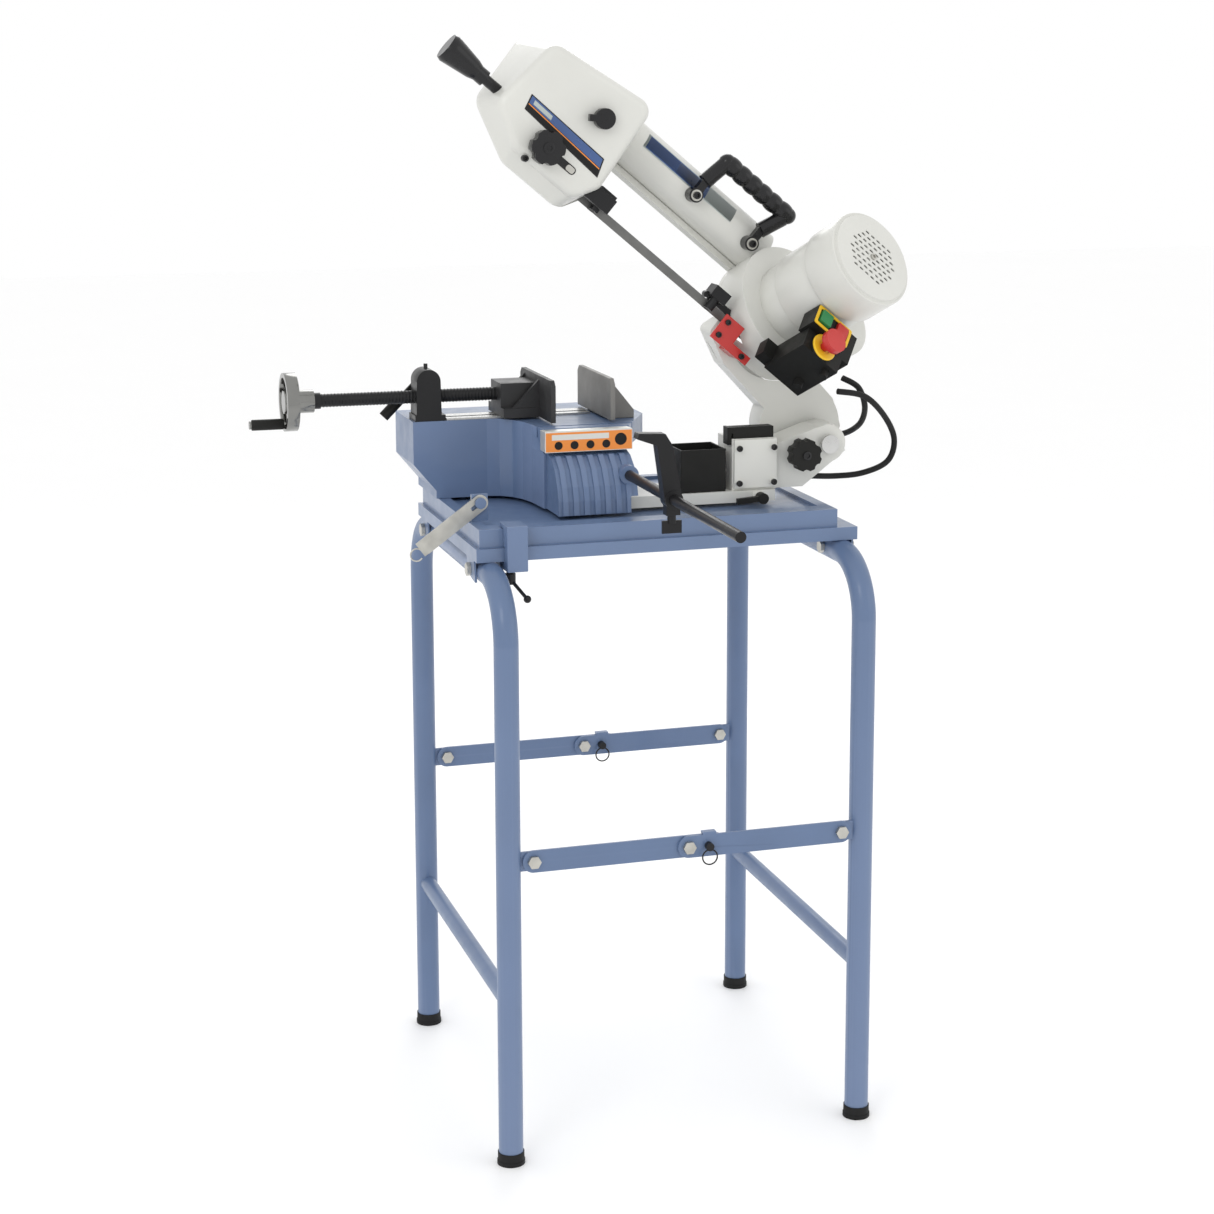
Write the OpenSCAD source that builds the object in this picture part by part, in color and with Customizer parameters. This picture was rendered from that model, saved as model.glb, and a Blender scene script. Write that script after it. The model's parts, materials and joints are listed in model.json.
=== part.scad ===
// Metal-cutting band saw on a folding stand, with a swivelling bow.
// Lengths are millimetres. The datum is the floor under the front left leg,
// X runs right along the machine, Y runs to the back and Z is up.

/* [Stand] */
// Distance between the left and right legs
stand_w = 530; // [520:1:540]
// Distance between the front and back legs
stand_d = 540; // [530:1:550]
// Outer diameter of the leg tube
tube_d = 35; // [30:1:36]
// Height of the top rail's axis
rail_z = 841; // [800:1:841]
// Height of the side cross tubes
cross_z = 240; // [150:10:400]
// Height of the folding braces
brace_z = 447; // [350:1:600]

/* [Vise] */
// Height of the vise bed
bed_z = 1021; // [1018:1:1023]
// Where the moving jaw's face stands
jaw_x = 142; // [100:1:200]
// Height of the vise screw's axis
screw_z = 1056; // [1054:1:1058]
// Diameter of the vise screw
screw_d = 19; // [16:1:20]
// Radius of the vise handwheel
wheel_r = 43; // [36:1:43]

/* [Bow] */
// Bow angle as stored, above the horizontal
bow_rest = 40; // [30:1:48]
// Radius of the band wheels
band_r = 77; // [75:0.5:77.5]
// Distance between the band wheels
band_c = 478; // [470:1:482]
// Angle of the band wheels' plane from the vertical
band_tilt = 38; // [36:1:40]
// Blade width
blade_w = 13; // [10:1:13]
// Blade thickness
blade_t = 0.65; // [0.5:0.05:0.9]
// Radius of the motor's shell
motor_r = 70; // [60:1:70]

/* [Hidden] */

$fn = 48;
// Middle of the whole machine, measured from the datum
middle = [185, 119, 0];
// Gap between parts that move past each other, and fit of a shaft in its bore
gap = 0.3;
fit = 0.05;
tube_r = tube_d / 2;
tube_wall = 2;
bend_r = 85;
tube_low = 5;
// Tray
tray_x = [-21, stand_w + 21];
tray_y = [80, 460];
tray_z = rail_z + tube_r + gap;
tray_step_z = tray_z + 19;
tray_top = 904;
tray_floor = 899;
tab_y = [120, 420];
tab_bolt_z = rail_z + 2;
latch_x = 2;
latch_y = 149;
latch_z = 931;
latch_l = 108;
latch_r = 11.5;
// Braces
brace_h = 32;
brace_t = 4;
brace_end = 35;
brace_mid = 262;
brace_pin_x = 291;
// Vise
jaw_y = [251, 430];
fixed_x = 226;
jaw_low = bed_z + 3.3;
jaw_top = jaw_low + 62;
screw_y = 365;
slot_y = 245;
grip_at = 32;
// Swivel
swivel_x = fixed_x;
swivel_y = 245;
arm_low = 905;
arm_top = 922;
lock_x = 430;
lock_z = 913.5;
pivot_x = 545;
pivot_z = 985;
pivot_r = 10;
// Gland of the switch lead on the column
gland_x = 524;
gland_y = 230;
gland_z = 930;
// Carry handle on the bow
handle_y = 290;
handle_foot = [-371, -256];
handle_top = [-362, -236];
handle_z = 236;
// Blade line and wheels, in the bow's own frame at rest: X from the pivot, Z square to the blade
blade_y = 245;
blade_z = 48;
drive_x = -150;
idler_x = drive_x - band_c;
counter_x = drive_x + 60;
// Screw line of the blade tension, ahead of the idler wheel and below its axis
tension_y = blade_y - 25 * cos(band_tilt) + (band_r - 47) * sin(band_tilt);
tension_z = blade_z + 25 * sin(band_tilt) + (band_r - 47) * cos(band_tilt);
tooth_m = 1.5;
rod_x = 226;
rod_z = 958;
rod_r = 7.5;

// ---- helpers ----
module place() { translate(-middle) children(); }
module block(lo, hi) { translate(lo) cube(hi - lo); }
module xrod(r, x1, x2, y, z) { translate([x1, y, z]) rotate([0, 90, 0]) cylinder(r = r, h = x2 - x1); }
module yrod(r, y1, y2, x, z) { translate([x, y1, z]) rotate([-90, 0, 0]) cylinder(r = r, h = y2 - y1); }
module zrod(r, z1, z2, x, y) { translate([x, y, z1]) cylinder(r = r, h = z2 - z1); }
// Outline in X and Z, carried from y1 to y2
module slab_y(y1, y2) { translate([0, y2, 0]) rotate([90, 0, 0]) linear_extrude(y2 - y1) children(); }
// Outline in Y and Z, carried from x1 to x2
module slab_x(x1, x2) { translate([x1, 0, 0]) rotate([90, 0, 90]) linear_extrude(x2 - x1) children(); }
module hex_y(af, y1, y2, x, z) {
    translate([x, y1, z]) rotate([-90, 0, 0]) cylinder(d = af / cos(30), h = y2 - y1, $fn = 6);
}
module hex_x(af, x1, x2, y, z) {
    translate([x1, y, z]) rotate([0, 90, 0]) cylinder(d = af / cos(30), h = x2 - x1, $fn = 6);
}

// Bow frame: origin on the pivot's axis, turned to its stored angle
module bow() { translate([pivot_x, 0, pivot_z]) rotate([0, bow_rest, 0]) children(); }
// Wheel frame: origin on the blade line, Y along the wheels' axes and Z across the wheels' plane
module wheels() { bow() translate([0, blade_y, blade_z]) rotate([-band_tilt, 0, 0]) children(); }

function unit(v) = v / norm(v);
function rot90(v) = [-v[1], v[0]];
// Corner points of a convex outline, moved inwards by d; the outline runs anticlockwise
function inset_corner(a, b, c, d) =
    let (u = unit(b - a), v = unit(c - b), bisector = unit(rot90(u) + rot90(v)))
    b + bisector * d / (bisector * rot90(u));
function inset(p, d) = [for (i = [0 : len(p) - 1])
    inset_corner(p[(i + len(p) - 1) % len(p)], p[i], p[(i + 1) % len(p)], d)];
// The same outline with its corners rounded to radius r
function round_corner(a, b, c, r, n) =
    let (u = unit(a - b), v = unit(c - b), half = acos(u * v) / 2, centre = b + unit(u + v) * r / sin(half),
         from = b + u * r / tan(half) - centre, sweep = 180 - 2 * half)
    [for (k = [0 : n]) let (t = sweep * k / n)
        centre + [from[0] * cos(t) - from[1] * sin(t), from[0] * sin(t) + from[1] * cos(t)]];
function rounded(p, r, n = 6) = [for (i = [0 : len(p) - 1])
    each round_corner(p[(i + len(p) - 1) % len(p)], p[i], p[(i + 1) % len(p)], r, n)];

// ---- stand ----
module frame_path(r, low) {
    straight = rail_z - bend_r;
    for (y = [0, stand_d]) zrod(r, low, straight, 0, y);
    translate([0, bend_r, straight]) rotate([0, -90, 0]) rotate([0, 0, -90])
        rotate_extrude(angle = 90) translate([bend_r, 0]) circle(r);
    translate([0, stand_d - bend_r, straight]) rotate([0, -90, 0])
        rotate_extrude(angle = 90) translate([bend_r, 0]) circle(r);
    yrod(r, bend_r, stand_d - bend_r, 0, rail_z);
}

// One inverted U with its cross tube; side is +1 where the brace tabs point right
module side_frame(side, tab_at) {
    difference() {
        union() {
            frame_path(tube_r, tube_low);
            yrod(12.5, 0, stand_d, 0, cross_z);
            for (y = [0, stand_d]) brace_tab(side, y + tab_at);
        }
        frame_path(tube_r - tube_wall, tube_low - 1);
        for (y = tab_y) xrod(5.2, -30, 30, y, tab_bolt_z);
        for (y = [0, stand_d]) yrod(5.2, y + tab_at - 1, y + tab_at + 5, side * brace_end, brace_z);
    }
}

module brace_tab(side, y) {
    far = side * brace_end;
    block([min(0, far), y, brace_z - 14], [max(0, far), y + brace_t, brace_z + 14]);
    yrod(14, y, y + brace_t, far, brace_z);
}

module left_frame() {
    color("steelblue") place() side_frame(1, -4);
}

module right_frame() {
    color("steelblue") place() translate([stand_w, 0, 0]) side_frame(-1, -8);
}

module foot_caps() {
    color("black") place() for (x = [0, stand_w], y = [0, stand_d]) difference() {
        union() {
            zrod(20, 0, 6, x, y);
            zrod(19, 6, 18, x, y);
        }
        zrod(tube_r + fit, tube_low, 19, x, y);
    }
}

module flat_link(x1, x2, y) {
    difference() {
        union() {
            block([x1, y, brace_z - brace_h / 2], [x2, y + brace_t, brace_z + brace_h / 2]);
            for (x = [x1, x2]) yrod(brace_h / 2, y, y + brace_t, x, brace_z);
        }
        for (x = [x1, x2, brace_mid]) yrod(5.2, y - 1, y + 5, x, brace_z);
        yrod(3.3, y - 1, y + 5, brace_pin_x, brace_z);
    }
}

module brace_links() {
    color("steelblue") place() for (y = [0, stand_d]) {
        flat_link(brace_end, brace_pin_x + 12, y - 8 - gap);
        difference() {
            union() {
                flat_link(brace_mid, stand_w - brace_end, y - 12 - 2 * gap);
                block([brace_pin_x - 8, y - 12 - 2 * gap, brace_z + brace_h / 2 - 1],
                    [brace_pin_x + 12, y - 2, brace_z + brace_h / 2 + 4]);
            }
            block([brace_pin_x - 9, y - 8 - 1.5 * gap, brace_z],
                [brace_pin_x + 13, y, brace_z + brace_h / 2 + gap]);
        }
    }
}

module bolt_y(x, z, y1, y2) {
    hex_y(17, y1 - 6, y1, x, z);
    yrod(5, y1 - 1, y2 + 1, x, z);
    hex_y(17, y2, y2 + 8, x, z);
}

module bolt_x(y, z, x1, x2) {
    hex_x(17, x1 - 6, x1, y, z);
    xrod(5, x1 - 1, x2 + 1, y, z);
    hex_x(17, x2, x2 + 8, y, z);
}

module stand_bolts() {
    color("silver") place() {
        for (y = [0, stand_d]) {
            bolt_y(brace_end, brace_z, y - 8 - gap, y);
            bolt_y(brace_mid, brace_z, y - 12 - 2 * gap, y - 4 - gap);
            bolt_y(stand_w - brace_end, brace_z, y - 12 - 2 * gap, y - 4);
        }
        for (y = tab_y) {
            bolt_x(y, tab_bolt_z, tray_x[0], tube_r);
            bolt_x(y, tab_bolt_z, stand_w - tube_r, tray_x[1]);
        }
    }
}

// Quick-release pin with a wire ring through its head
module brace_pin(y) {
    yrod(3, y - 14, y - 3, brace_pin_x, brace_z);
    yrod(6, y - 22, y - 13, brace_pin_x, brace_z);
    translate([brace_pin_x, y - 20, brace_z - 15]) rotate([90, 0, 0])
        rotate_extrude() translate([11, 0]) circle(1.1, $fn = 16);
}

module front_brace_pin() {
    color("black") place() brace_pin(0);
}

module rear_brace_pin() {
    color("black") place() brace_pin(stand_d);
}

module tray() {
    color("steelblue") place() difference() {
        union() {
            block([tray_x[0], tray_y[0], tray_z], [tray_x[1], tray_y[1], tray_step_z]);
            block([-15, 87, tray_step_z - 1], [522, 453, tray_top]);
            for (y = tab_y) {
                tray_tab(tray_x[0], y);
                tray_tab(tray_x[1] - 3, y);
            }
            // lug and shoulder bolt of the latch bar
            block([-10, latch_y + 4, tray_step_z - 1], [14, latch_y + 9, latch_z + 12]);
            yrod(4, latch_y - 1, latch_y + 5, latch_x, latch_z);
            yrod(8, latch_y - 4, latch_y - gap, latch_x, latch_z);
        }
        block([tray_x[0] + 3, tray_y[0] + 3, tray_z - 1], [tray_x[1] - 3, tray_y[1] - 3, tray_step_z - 3]);
        block([-12, 90, tray_step_z - 4], [519, 450, tray_floor - 3]);
        block([3, 120, tray_floor], [504, 435, tray_top + 1]);
        for (x = [tray_x[0] + 1, tray_x[1] - 1], y = tab_y) xrod(5.2, x - 5, x + 5, y, tab_bolt_z);
    }
}

module tray_tab(x, y) {
    slab_x(x, x + 3) polygon([[y - 22, tray_z + 5], [y - 30, tab_bolt_z - 14], [y - 12, tab_bolt_z - 12],
        [y + 16, tab_bolt_z - 6], [y + 22, tray_z + 5]]);
}

// C-shaped clamp over the tray's front edge
module edge_clamp() {
    color("steelblue") place() difference() {
        block([19, 62, 846], [49, 108, 911]);
        block([18, tray_y[0] - gap, 858], [50, 109, tray_step_z + gap]);
        block([18, 87 - gap, 870], [50, 109, tray_top + gap]);
        zrod(5 + fit, 845, 859, 31, 96);
    }
}

module clamp_screw() {
    color("black") place() {
        zrod(5, 830, tray_z - gap, 31, 96);
        zrod(8, 823, 838, 31, 96);
        translate([31, 96, 830]) rotate([0, 125, -60]) {
            cylinder(r = 2.6, h = 42);
            translate([0, 0, 42]) sphere(5.5);
        }
    }
}

// Flat keyhole link on the shoulder bolt of the tray's lug, resting on the tray's rim
module latch_bar() {
    color("gainsboro") place() translate([latch_x, latch_y, latch_z]) rotate([0, -36, 0]) {
        difference() {
            union() {
                block([-latch_l, 0, -latch_r], [0, 3, latch_r]);
                yrod(latch_r, 0, 3, 0, 0);
            }
            yrod(4 + fit, -1, 4, 0, 0);
            block([-16, -1, -3], [0, 4, 3]);
            translate([-latch_l, -1, -latch_r]) rotate([0, 45, 0]) cube([9, 6, 9], center = true);
        }
        translate([-latch_l - 8, 1.5, -2]) rotate([90, 0, 0])
            rotate_extrude(angle = 290) translate([9, 0]) circle(1.1, $fn = 16);
    }
}

// ---- base and vise ----
// Outline of the bed in X and Z, with the undercut at both ends
function bed_outline(w) = [
    [-52 + w, bed_z + (w > 0 ? -9 : 0)], [-52 + w, 957], [-18 + w, 916 + w / 2], [-18 + w, 904 - w],
    [238 - w, 904 - w], [238 - w, 987], [300 - w, 998], [300 - w, bed_z + (w > 0 ? -9 : 0)]];
// Profile in Y and Z of the front bulge under the jaws
function bulge_profile(w) = [
    [150 + w, 904 - w], [152 + w, 925], [158 + w, 945], [172 + w, 968], [192 + w, 982], [222 + w, 990],
    [222 + w, bed_z - (w > 0 ? 22 : 0)], [360, bed_z - (w > 0 ? 22 : 0)], [360, 904 - w]];
// Plan of the flare between the recessed left wall and the bulge
function flare(w, near) = [
    [60, 343 + w], [78 + w, 338 + w], [94 + w, 322 + w], [104 + w, 300], [110 + w, 270], [114 + w, near + w],
    [130, near + w], [130, 360], [60, 360]];

module base_shell(w) {
    slab_y(343 + w, 470 - w) polygon(bed_outline(w));
    slab_x(118 + w, 238 - w) polygon(bulge_profile(w));
    translate([0, 0, 985]) linear_extrude(bed_z - 985 - (w > 0 ? 22 : 0)) polygon(flare(w, 222));
    translate([0, 0, 904 - w]) linear_extrude(82 + w) polygon(flare(w, 215));
    translate([0, 0, 990]) linear_extrude(bed_z - 990 - (w > 0 ? 22 : 0))
        polygon([[200, 222 + w], [245 - w, 222 + w], [300 - w, 331 + w], [300 - w, 360], [200, 360]]);
}

module base_casting() {
    color("steelblue") place() difference() {
        union() {
            difference() {
                union() {
                    base_shell(0);
                    for (i = [0 : 6]) slab_x(124 + 16 * i, 132 + 16 * i) polygon([
                        [147, 905], [149, 925], [155, 945], [169, 968], [190, 985], [225, 986], [225, 905]]);
                }
                base_shell(8);
            }
            // boss of the stop rod
            yrod(14, 156, 205, rod_x, rod_z);
            // web that carries the swivel pin
            zrod(24, 930, 1012, swivel_x - 22, swivel_y + 30);
        }
        // blade slot
        block([60, slot_y - 3, bed_z - 16], [320, slot_y + 3, bed_z + 1]);
        // room for the swivel arm
        zrod(66, 903, 928, swivel_x, swivel_y);
        translate([0, 0, 895]) linear_extrude(33)
            polygon([[226, 140], [226, 182], [166, 262], [290, 480], [420, 480], [420, 140]]);
        yrod(rod_r + fit, 140, 200, rod_x, rod_z);
        zrod(8 + fit, 920, 960, swivel_x, swivel_y);
        // flat underside
        block([-80, 100, 880], [400, 500, 904 + gap]);
    }
}

module bed_rails() {
    color("silver") place() {
        block([0, 346, bed_z + fit], [222, 361, bed_z + 3]);
        block([0, 369, bed_z + fit], [222, 392, bed_z + 3]);
    }
}

module jaw_plate(x1, x2) {
    slab_x(x1, x2) polygon([[jaw_y[0], jaw_low], [jaw_y[1], jaw_low], [jaw_y[1], jaw_top - 8],
        [jaw_y[1] - 8, jaw_top], [jaw_y[0] + 8, jaw_top], [jaw_y[0], jaw_top - 8]]);
}

module fixed_jaw() {
    color("gray") place() {
        jaw_plate(fixed_x, fixed_x + 7);
        difference() {
            slab_y(290, 400) polygon([[fixed_x + 7, bed_z + fit], [fixed_x + 48, bed_z + fit],
                [fixed_x + 48, bed_z + 12], [fixed_x + 16, bed_z + 52], [fixed_x + 7, bed_z + 52]]);
            block([fixed_x + 16, 306, bed_z + 12], [fixed_x + 60, 384, bed_z + 60]);
        }
        for (y = [325, 365]) hex_jaw_bolt(fixed_x + 32, y);
    }
}

module hex_jaw_bolt(x, y) {
    translate([x, y, bed_z + 12]) cylinder(d = 17 / cos(30), h = 8, $fn = 6);
}

module moving_jaw() {
    color("dimgray") place() {
        jaw_plate(jaw_x - 7, jaw_x);
        difference() {
            union() {
                block([jaw_x - 62, 318, jaw_low], [jaw_x - 7, 412, jaw_low + 14]);
                block([jaw_x - 62, 335, jaw_low + 13], [jaw_x - 7, 395, jaw_low + 50]);
                for (y = [320, 403]) slab_y(y, y + 7) polygon([[jaw_x - 48, jaw_low + 13],
                    [jaw_x - 6.9, jaw_low + 13], [jaw_x - 6.9, jaw_low + 56]]);
            }
            xrod(screw_d / 2 + 0.03, jaw_x - 70, jaw_x - 18, screw_y, screw_z);
        }
    }
}

module screw_bracket() {
    color("black") place() difference() {
        union() {
            block([-48, 344, bed_z + fit], [-2, 388, bed_z + 9]);
            slab_y(344, 386)
                polygon([[-46, bed_z + 8], [-8, bed_z + 8], [-9, bed_z + 59], [-45, bed_z + 59]]);
            yrod(18, 344, 386, -27, bed_z + 59);
            zrod(3, bed_z + 70, bed_z + 84, -27, screw_y);
        }
        xrod(screw_d / 2 + 0.06, -60, 10, screw_y, screw_z);
        yrod(4 + fit, 370, 390, -27, bed_z + 62);
    }
}

// Lever behind the bracket that frees the half nut
module release_lever() {
    color("black") place() {
        yrod(4, 376, 396, -27, bed_z + 62);
        translate([-27, 392, bed_z + 62]) rotate([0, -45, 0]) {
            yrod(9, -5, 4, 0, 0);
            block([-52, -3, -4], [-6, 3, 4]);
            xrod(8, -84, -50, 0, 0);
        }
    }
}

module lead_screw() {
    color("black") place() {
        xrod(screw_d / 2, -196, jaw_x - 19, screw_y, screw_z);
        xrod(12, -196, -186, screw_y, screw_z);
    }
}

module handwheel() {
    color("silver") place() translate([-240, screw_y, screw_z]) rotate([0, 90, 0]) {
        difference() {
            cylinder(r = wheel_r, h = 18);
            translate([0, 0, -1]) cylinder(r = wheel_r - 7, h = 20);
        }
        cylinder(r = 17, h = 43.9);
        for (a = [0 : 120 : 240]) rotate([0, 0, a]) translate([15, -8, 5]) cube([wheel_r - 20, 16, 8]);
        translate([grip_at, 0, -48]) cylinder(r = 3, h = 58);
        translate([grip_at, 0, -51]) cylinder(r = 6, h = 3);
    }
}

// Sleeve that spins on the handwheel's pin
module handwheel_grip() {
    color("black") place() difference() {
        xrod(8, -288 + gap, -240 - gap, screw_y, screw_z - grip_at);
        xrod(3 + fit, -300, -230, screw_y, screw_z - grip_at);
    }
}

module support_bar() {
    color("silver") place() slab_x(110, 242) polygon([[194, 990], [221.7, 990.5], [221.7, 1020], [196, bed_z],
        [194, bed_z - 2]]);
}

// ---- material stop ----
module stop_rod() {
    color("dimgray") place() yrod(rod_r, -322, 199, rod_x, rod_z);
}

module stop_arm() {
    color("black") place() difference() {
        union() {
            yrod(13, -52, -28, rod_x, rod_z);
            slab_y(-50, -30) polygon([[rod_x - 13, rod_z], [rod_x + 12, rod_z + 4], [rod_x - 2, 1034],
                [rod_x - 12, 1050], [rod_x - 50, 1052], [rod_x - 52, 1044], [rod_x - 24, 1034]]);
            block([rod_x - 10, -48, rod_z - 22], [rod_x + 10, -32, rod_z]);
        }
        yrod(rod_r + fit, -60, -20, rod_x, rod_z);
        zrod(3 + fit, rod_z - 30, rod_z, rod_x, -40);
    }
}

module stop_screw() {
    color("black") place() {
        zrod(3, rod_z - 34, rod_z - rod_r - gap, rod_x, -40);
        zrod(6, rod_z - 34, rod_z - 22 - gap, rod_x, -40);
        block([rod_x - 14, -42, rod_z - 48], [rod_x + 14, -38, rod_z - 30]);
    }
}

// ---- swivel ----
module swivel_arm() {
    color("white") place() difference() {
        swivel_body();
        yrod(4 + fit, 160, 174, lock_x, lock_z);
    }
}

module swivel_body() {
    union() {
        zrod(63, arm_low, arm_top, swivel_x, swivel_y);
        zrod(8, arm_top - 1, 958, swivel_x, swivel_y);
        block([swivel_x, 176, arm_low], [458, 276, arm_top]);
        yrod(8.4, 164, 177, lock_x, lock_z);
    }
}

module column() {
    color("white") place() difference() {
        union() {
            block([392, 182, arm_top], [462, 246, 999]);
            slab_y(186, 246) polygon([[455, arm_top], [505, arm_top], [pivot_x + 28, pivot_z - 12],
                [pivot_x + 10, pivot_z + 28], [pivot_x - 20, pivot_z + 24], [455, 985]]);
            yrod(28, 186, 246, pivot_x, pivot_z);
            xrod(7, 500, gland_x, gland_y, gland_z);
        }
        yrod(pivot_r + fit, 180, 250, pivot_x, pivot_z);
        yrod(5 + fit, 180, 215, 498, 974);
        zrod(6 + fit, arm_top - 1, 940, 430, 200);
    }
}

// Plate on the front of the column, held by four socket screws
module column_cover() {
    color("whitesmoke") place() {
        block([394, 176, 926], [460, 182 - fit, 998]);
        for (x = [400, 454], z = [934, 986]) yrod(4, 171.5, 176.1, x, z);
    }
}

module lock_lever() {
    color("black") place() {
        yrod(4, 152, 172, lock_x, lock_z);
        yrod(8, 148, 163.7, lock_x, lock_z);
        translate([lock_x, 153, lock_z]) rotate([0, -4, 0]) block([-40, -4, -4], [0, 4, 4]);
    }
}

// Open black bin for chips, beside the casting
module chip_bin() {
    color("black") place() difference() {
        block([312, 180, arm_top + fit], [382, 248, 986]);
        block([314.5, 182.5, arm_top + 2.5], [379.5, 245.5, 987]);
    }
}

module limit_switch() {
    color("black") place() {
        block([394, 184, 999 + fit], [458, 204, 1016]);
        block([386, 184, 990], [391.9, 206, 1016]);
        block([389, 184, 1006], [396, 204, 1016]);
    }
}

module feed_knob() {
    color("black") place() {
        yrod(5, 150, 214, 498, 974);
        difference() {
            yrod(24, 150, 172, 498, 974);
            for (a = [0 : 45 : 315]) yrod(7, 149, 173, 498 + 28 * cos(a), 974 + 28 * sin(a));
        }
    }
}

module pivot_shaft() {
    color("silver") place() {
        yrod(pivot_r, 178, 318, pivot_x, pivot_z);
        yrod(14, 174, 178.1, pivot_x, pivot_z);
        yrod(14, 312, 318, pivot_x, pivot_z);
    }
}

// ---- bow ----
hub = [-26, 2];
hub_r = 64;
arm_outline = [[-181, -2], [-84, -14], [-26, -20], [20, 0], [30, 40], [-10, 66], [-120, 80], [-200, 66],
    [-232, 60], [-232, 22]];

module arm_shape(y1, y2) {
    slab_y(y1, y2) polygon(rounded(arm_outline, 8));
    yrod(hub_r, y1, y2, hub[0], hub[1]);
}

module drum(r, y1, y2) { wheels() yrod(r, y1, y2, drive_x, band_r); }

module bow_frame() {
    color("white") place() difference() {
        union() {
            difference() {
                drum(98, -40, 14);
                drum(92, -34, 15);
            }
            wheels() yrod(27, -40, -28, drive_x, band_r);
            difference() {
                bow() arm_shape(256, 304);
                drum(98, -40, 60);
            }
            wheels() difference() {
                xrod(37, -560, drive_x - 70, 0, 2 * band_r);
                yrod(97, -41, 60, drive_x, band_r);
                yrod(88, -20, 60, idler_x, band_r);
            }
        }
        wheels() xrod(31, -620, drive_x - 40, 0, 2 * band_r);
        bow() yrod(pivot_r + fit, 200, 330, 0, 0);
        wheels() yrod(20 + fit, -42, -30, drive_x, band_r);
        wheels() yrod(14, -42, -20, drive_x, band_r);
        // way for the blade into the drum
        bow() block([-300, blade_y - 9, blade_z - 11], [-120, blade_y + 9, blade_z + 9]);
    }
}

head_outline = [[-500, 62], [-528, 150], [-560, 212], [-704, 192], [-720, 60], [-640, 12], [-536, 12]];

module head_prism(d, y1, y2, r) {
    slab_y(y1, y2) polygon(rounded(inset(head_outline, d), r));
}

// Space in front of a plane parallel to the wheels
module before_plane(y) {
    wheels() block([-800, -260, -260], [0, y, 420]);
}

module head_housing() {
    color("white") place() difference() {
        intersection() {
            bow() head_prism(0, 205, 372, 24);
            before_plane(14);
        }
        intersection() {
            bow() head_prism(4, 209, 380, 20);
            before_plane(15);
        }
        wheels() xrod(37 + fit, -561, -400, 0, 2 * band_r);
        bow() block([-540, 213, 40], [-480, 262, 84]);
        // slot of the guide arm's knob
        bow() block([idler_x + 8, 200, 57], [-556, 215, 69]);
        bow() xrod(8 + gap, -740, -690, tension_y, tension_z);
    }
}

module rear_covers() {
    color("whitesmoke") place() {
        intersection() {
            bow() head_prism(0, 205, 400, 24);
            difference() {
                wheels() block([-800, 14 + fit, -200], [-470, 24, 400]);
                wheels() xrod(37 + fit, -620, -400, 0, 2 * band_r);
            }
        }
        difference() {
            drum(98, 14 + fit, 24);
            drum(94, 14, 21);
            wheels() xrod(37 + fit, -300, drive_x, 0, 2 * band_r);
            bow() arm_shape(255, 304 + fit);
        }
        // strips along the backbone, which show below it
        difference() {
            wheels() block([-560, 14 + fit, 2 * band_r - 48], [drive_x - 60, 22, 2 * band_r + 40]);
            wheels() xrod(38, -620, -200, 0, 2 * band_r);
            bow() arm_shape(255, 304 + fit);
            bow() head_prism(-gap, 204, 401, 24);
            drum(98 + gap, 13, 25);
        }
    }
}

// Endless blade: flat on the wheels, turned upright between the guides. In the wheels' frame,
// each section is its middle, the direction of its width and the direction of its thickness.
twist_x = [drive_x, -235, -515, idler_x];
function twist_at(x) = -(90 - band_tilt) * lookup(-x, [[-twist_x[0], 0], [-twist_x[1], 1], [-twist_x[2], 1],
    [-twist_x[3], 0]]);
function cut_section(x) = let (a = twist_at(x)) [[x, 0, 0], [0, cos(a), sin(a)], [0, -sin(a), cos(a)]];
function wheel_section(x, a) = let (n = [sin(a), 0, cos(a)]) [[x, 0, band_r] - band_r * n, [0, 1, 0], n];
blade_sections = concat(
    [for (i = [0 : 10]) cut_section(twist_x[0] + (twist_x[1] - twist_x[0]) * i / 10)],
    [for (i = [0 : 9]) cut_section(twist_x[2] + (twist_x[3] - twist_x[2]) * i / 10)],
    [for (i = [0 : 20]) wheel_section(idler_x, 9 * i)],
    [for (i = [20 : 39]) wheel_section(drive_x, 9 * i)]);

module blade() {
    count = len(blade_sections);
    corners = [for (s = blade_sections, k = [[-1, -1], [1, -1], [1, 1], [-1, 1]])
        s[0] + s[1] * k[0] * blade_w / 2 + s[2] * k[1] * blade_t / 2];
    skin = [for (i = [0 : count - 1], k = [0 : 3])
        let (a = i * 4 + k, b = i * 4 + (k + 1) % 4, next = (i + 1) % count * 4,
             c = next + (k + 1) % 4, d = next + k)
        each [[a, b, c], [a, c, d]]];
    color("lightgray") place() wheels() polyhedron(corners, skin);
}

module band_wheel(x, bore) {
    wheels() difference() {
        union() {
            difference() {
                yrod(band_r - 0.65, -9, 9, x, band_r);
                yrod(band_r - 9, -10, 10, x, band_r);
            }
            yrod(band_r - 8, -2.5, 2.5, x, band_r);
            yrod(22, -12, 9, x, band_r);
        }
        yrod(bore, -20, 20, x, band_r);
        for (a = [0 : 60 : 300]) yrod(9, -10, 10, x + 44 * cos(a), band_r + 44 * sin(a));
    }
}

module drive_wheel() {
    color("dimgray") place() band_wheel(drive_x, 10);
}

module idler_wheel() {
    color("dimgray") place() band_wheel(idler_x, 12 + fit);
}

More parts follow.
